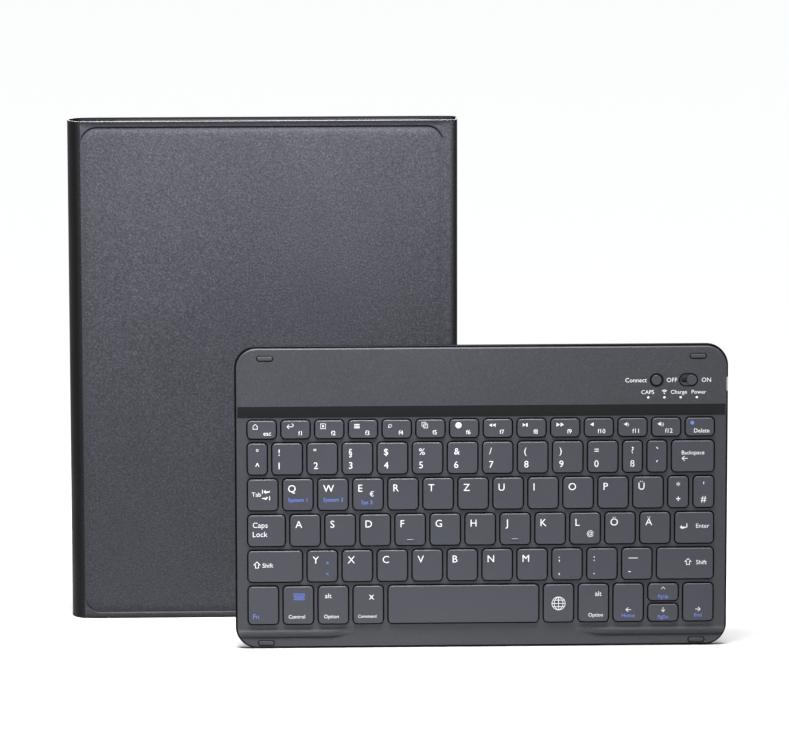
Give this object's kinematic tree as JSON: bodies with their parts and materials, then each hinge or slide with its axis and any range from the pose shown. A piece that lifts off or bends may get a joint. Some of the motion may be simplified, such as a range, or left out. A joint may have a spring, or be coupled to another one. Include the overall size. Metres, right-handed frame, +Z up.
{
  "type": "tablet keyboard case",
  "caption": "Leather folio case with a tablet tray inside, standing closed, and its slim detachable wireless keyboard standing on edge in front of it.",
  "frame": {"origin": "on the surface that the folio and the keyboard stand on, under the middle of the whole set's box", "axes": "+X to the right as the keys are read, +Y away from the reader, from the keyboard towards the folio, +Z up"},
  "size_m": [0.3288, 0.1008, 0.256],
  "materials": {
    "black_leather": "fine-grained synthetic leather, satin",
    "greyboard": "plain pressed board",
    "microfibre": "short-napped microfibre cloth",
    "tray_plastic": "fine-textured moulded plastic",
    "case_plastic": "fine-speckled satin plastic",
    "shell_plastic": "glossy black plastic",
    "key_plastic": "satin plastic with printed letters",
    "soft_rubber": "matt rubber",
    "dome_rubber": "black silicone",
    "plate_steel": "rolled sheet steel",
    "magnet_metal": "plated disc magnets",
    "battery_foil": "foil pouch",
    "board_green": "solder mask",
    "socket_metal": "plated shell",
    "switch_plastic": "moulded switch body",
    "light_pipe": "frosted clear plastic",
    "screw_steel": "zinc-plated"
  },
  "bodies": {
    "front_cover": {"front_cover_skin": "black_leather", "front_cover_board": "greyboard", "front_cover_lining": "microfibre", "keyboard_magnets": "magnet_metal"},
    "spine": {"spine_skin": "black_leather", "spine_board": "greyboard"},
    "back_cover": {"back_cover_skin": "black_leather", "back_cover_board": "greyboard", "back_cover_lining": "microfibre", "tablet_tray": "tray_plastic", "tray_rim": "tray_plastic"},
    "keyboard": {"keyboard_top_case": "case_plastic", "keyboard_bottom_case": "shell_plastic", "front_pads": "soft_rubber", "rear_feet": "soft_rubber", "case_screws": "screw_steel", "dome_sheet": "dome_rubber", "steel_backplate": "plate_steel", "battery": "battery_foil", "circuit_board": "board_green", "usb_socket": "socket_metal", "slide_switch_body": "switch_plastic", "tact_switch": "switch_plastic", "status_lights": "light_pipe"},
    "power_switch_knob": {"power_switch_knob": "key_plastic"},
    "connect_button": {"connect_button": "key_plastic"},
    "key_esc": {"key_esc": "key_plastic"},
    "keys_f1_to_f4": {"keys_f1_to_f4": "key_plastic"},
    "keys_f5_to_f8": {"keys_f5_to_f8": "key_plastic"},
    "keys_f9_to_f12": {"keys_f9_to_f12": "key_plastic"},
    "key_delete": {"key_delete": "key_plastic"},
    "keys_caret_to_4": {"keys_caret_to_4": "key_plastic"},
    "keys_5_to_9": {"keys_5_to_9": "key_plastic"},
    "keys_0_to_acute": {"keys_0_to_acute": "key_plastic"},
    "key_backspace": {"key_backspace": "key_plastic"},
    "key_tab": {"key_tab": "key_plastic"},
    "keys_q_to_t": {"keys_q_to_t": "key_plastic"},
    "keys_z_to_p": {"keys_z_to_p": "key_plastic"},
    "keys_ue_to_hash": {"keys_ue_to_hash": "key_plastic"},
    "key_caps_lock": {"key_caps_lock": "key_plastic"},
    "keys_a_to_g": {"keys_a_to_g": "key_plastic"},
    "keys_h_to_l": {"keys_h_to_l": "key_plastic"},
    "keys_oe_ae": {"keys_oe_ae": "key_plastic"},
    "key_enter": {"key_enter": "key_plastic"},
    "key_shift_left": {"key_shift_left": "key_plastic"},
    "keys_y_to_b": {"keys_y_to_b": "key_plastic"},
    "keys_n_to_dash": {"keys_n_to_dash": "key_plastic"},
    "key_shift_right": {"key_shift_right": "key_plastic"},
    "key_fn": {"key_fn": "key_plastic"},
    "key_control": {"key_control": "key_plastic"},
    "key_alt_left": {"key_alt_left": "key_plastic"},
    "key_command": {"key_command": "key_plastic"},
    "key_space": {"key_space": "key_plastic"},
    "key_globe": {"key_globe": "key_plastic"},
    "key_alt_right": {"key_alt_right": "key_plastic"},
    "key_arrow_left": {"key_arrow_left": "key_plastic"},
    "key_arrow_up": {"key_arrow_up": "key_plastic"},
    "key_arrow_down": {"key_arrow_down": "key_plastic"},
    "key_arrow_right": {"key_arrow_right": "key_plastic"}
  },
  "joints": [
    {"name": "spine_fold", "type": "hinge", "parent": "front_cover", "child": "spine", "pos_m": [-0.1584, 0.03083, 0.128], "axis": [0, 0, 1], "range_deg": [0, 90]},
    {"name": "back_cover_fold", "type": "hinge", "parent": "spine", "child": "back_cover", "pos_m": [-0.1584, 0.05003, 0.128], "axis": [0, 0, 1], "range_deg": [0, 90]},
    {"name": "keyboard_lift", "type": "slide", "parent": "front_cover", "child": "keyboard", "axis": [0, 0, 1], "range_m": [0, 0.27]},
    {"name": "power_switch_slide", "type": "slide", "parent": "keyboard", "child": "power_switch_knob", "axis": [-1, 0, 0], "range_m": [0, 0.0034]},
    {"name": "connect_button_press", "type": "slide", "parent": "keyboard", "child": "connect_button", "axis": [0, 1, 0], "range_m": [0, 0.0005], "stiffness_N_per_m": 1500, "springref_m": -0.0003},
    {"name": "key_esc_press", "type": "slide", "parent": "keyboard", "child": "key_esc", "axis": [0, 1, 0], "range_m": [0, 0.0012], "stiffness_N_per_m": 400, "springref_m": -0.0004},
    {"name": "keys_f1_to_f4_press", "type": "slide", "parent": "keyboard", "child": "keys_f1_to_f4", "axis": [0, 1, 0], "range_m": [0, 0.0012], "stiffness_N_per_m": 1600, "springref_m": -0.0004},
    {"name": "keys_f5_to_f8_press", "type": "slide", "parent": "keyboard", "child": "keys_f5_to_f8", "axis": [0, 1, 0], "range_m": [0, 0.0012], "stiffness_N_per_m": 1600, "springref_m": -0.0004},
    {"name": "keys_f9_to_f12_press", "type": "slide", "parent": "keyboard", "child": "keys_f9_to_f12", "axis": [0, 1, 0], "range_m": [0, 0.0012], "stiffness_N_per_m": 1600, "springref_m": -0.0004},
    {"name": "key_delete_press", "type": "slide", "parent": "keyboard", "child": "key_delete", "axis": [0, 1, 0], "range_m": [0, 0.0012], "stiffness_N_per_m": 400, "springref_m": -0.0004},
    {"name": "keys_caret_to_4_press", "type": "slide", "parent": "keyboard", "child": "keys_caret_to_4", "axis": [0, 1, 0], "range_m": [0, 0.0012], "stiffness_N_per_m": 2000, "springref_m": -0.0004},
    {"name": "keys_5_to_9_press", "type": "slide", "parent": "keyboard", "child": "keys_5_to_9", "axis": [0, 1, 0], "range_m": [0, 0.0012], "stiffness_N_per_m": 2000, "springref_m": -0.0004},
    {"name": "keys_0_to_acute_press", "type": "slide", "parent": "keyboard", "child": "keys_0_to_acute", "axis": [0, 1, 0], "range_m": [0, 0.0012], "stiffness_N_per_m": 1200, "springref_m": -0.0004},
    {"name": "key_backspace_press", "type": "slide", "parent": "keyboard", "child": "key_backspace", "axis": [0, 1, 0], "range_m": [0, 0.0012], "stiffness_N_per_m": 400, "springref_m": -0.0004},
    {"name": "key_tab_press", "type": "slide", "parent": "keyboard", "child": "key_tab", "axis": [0, 1, 0], "range_m": [0, 0.0012], "stiffness_N_per_m": 400, "springref_m": -0.0004},
    {"name": "keys_q_to_t_press", "type": "slide", "parent": "keyboard", "child": "keys_q_to_t", "axis": [0, 1, 0], "range_m": [0, 0.0012], "stiffness_N_per_m": 2000, "springref_m": -0.0004},
    {"name": "keys_z_to_p_press", "type": "slide", "parent": "keyboard", "child": "keys_z_to_p", "axis": [0, 1, 0], "range_m": [0, 0.0012], "stiffness_N_per_m": 2000, "springref_m": -0.0004},
    {"name": "keys_ue_to_hash_press", "type": "slide", "parent": "keyboard", "child": "keys_ue_to_hash", "axis": [0, 1, 0], "range_m": [0, 0.0012], "stiffness_N_per_m": 1200, "springref_m": -0.0004},
    {"name": "key_caps_lock_press", "type": "slide", "parent": "keyboard", "child": "key_caps_lock", "axis": [0, 1, 0], "range_m": [0, 0.0012], "stiffness_N_per_m": 400, "springref_m": -0.0004},
    {"name": "keys_a_to_g_press", "type": "slide", "parent": "keyboard", "child": "keys_a_to_g", "axis": [0, 1, 0], "range_m": [0, 0.0012], "stiffness_N_per_m": 2000, "springref_m": -0.0004},
    {"name": "keys_h_to_l_press", "type": "slide", "parent": "keyboard", "child": "keys_h_to_l", "axis": [0, 1, 0], "range_m": [0, 0.0012], "stiffness_N_per_m": 1600, "springref_m": -0.0004},
    {"name": "keys_oe_ae_press", "type": "slide", "parent": "keyboard", "child": "keys_oe_ae", "axis": [0, 1, 0], "range_m": [0, 0.0012], "stiffness_N_per_m": 800, "springref_m": -0.0004},
    {"name": "key_enter_press", "type": "slide", "parent": "keyboard", "child": "key_enter", "axis": [0, 1, 0], "range_m": [0, 0.0012], "stiffness_N_per_m": 400, "springref_m": -0.0004},
    {"name": "key_shift_left_press", "type": "slide", "parent": "keyboard", "child": "key_shift_left", "axis": [0, 1, 0], "range_m": [0, 0.0012], "stiffness_N_per_m": 400, "springref_m": -0.0004},
    {"name": "keys_y_to_b_press", "type": "slide", "parent": "keyboard", "child": "keys_y_to_b", "axis": [0, 1, 0], "range_m": [0, 0.0012], "stiffness_N_per_m": 2000, "springref_m": -0.0004},
    {"name": "keys_n_to_dash_press", "type": "slide", "parent": "keyboard", "child": "keys_n_to_dash", "axis": [0, 1, 0], "range_m": [0, 0.0012], "stiffness_N_per_m": 2000, "springref_m": -0.0004},
    {"name": "key_shift_right_press", "type": "slide", "parent": "keyboard", "child": "key_shift_right", "axis": [0, 1, 0], "range_m": [0, 0.0012], "stiffness_N_per_m": 400, "springref_m": -0.0004},
    {"name": "key_fn_press", "type": "slide", "parent": "keyboard", "child": "key_fn", "axis": [0, 1, 0], "range_m": [0, 0.0012], "stiffness_N_per_m": 400, "springref_m": -0.0004},
    {"name": "key_control_press", "type": "slide", "parent": "keyboard", "child": "key_control", "axis": [0, 1, 0], "range_m": [0, 0.0012], "stiffness_N_per_m": 400, "springref_m": -0.0004},
    {"name": "key_alt_left_press", "type": "slide", "parent": "keyboard", "child": "key_alt_left", "axis": [0, 1, 0], "range_m": [0, 0.0012], "stiffness_N_per_m": 400, "springref_m": -0.0004},
    {"name": "key_command_press", "type": "slide", "parent": "keyboard", "child": "key_command", "axis": [0, 1, 0], "range_m": [0, 0.0012], "stiffness_N_per_m": 400, "springref_m": -0.0004},
    {"name": "key_space_press", "type": "slide", "parent": "keyboard", "child": "key_space", "axis": [0, 1, 0], "range_m": [0, 0.0012], "stiffness_N_per_m": 400, "springref_m": -0.0004},
    {"name": "key_globe_press", "type": "slide", "parent": "keyboard", "child": "key_globe", "axis": [0, 1, 0], "range_m": [0, 0.0012], "stiffness_N_per_m": 400, "springref_m": -0.0004},
    {"name": "key_alt_right_press", "type": "slide", "parent": "keyboard", "child": "key_alt_right", "axis": [0, 1, 0], "range_m": [0, 0.0012], "stiffness_N_per_m": 400, "springref_m": -0.0004},
    {"name": "key_arrow_left_press", "type": "slide", "parent": "keyboard", "child": "key_arrow_left", "axis": [0, 1, 0], "range_m": [0, 0.0012], "stiffness_N_per_m": 400, "springref_m": -0.0004},
    {"name": "key_arrow_up_press", "type": "slide", "parent": "keyboard", "child": "key_arrow_up", "axis": [0, 1, 0], "range_m": [0, 0.0012], "stiffness_N_per_m": 400, "springref_m": -0.0004},
    {"name": "key_arrow_down_press", "type": "slide", "parent": "keyboard", "child": "key_arrow_down", "axis": [0, 1, 0], "range_m": [0, 0.0012], "stiffness_N_per_m": 400, "springref_m": -0.0004},
    {"name": "key_arrow_right_press", "type": "slide", "parent": "keyboard", "child": "key_arrow_right", "axis": [0, 1, 0], "range_m": [0, 0.0012], "stiffness_N_per_m": 400, "springref_m": -0.0004}
  ]
}
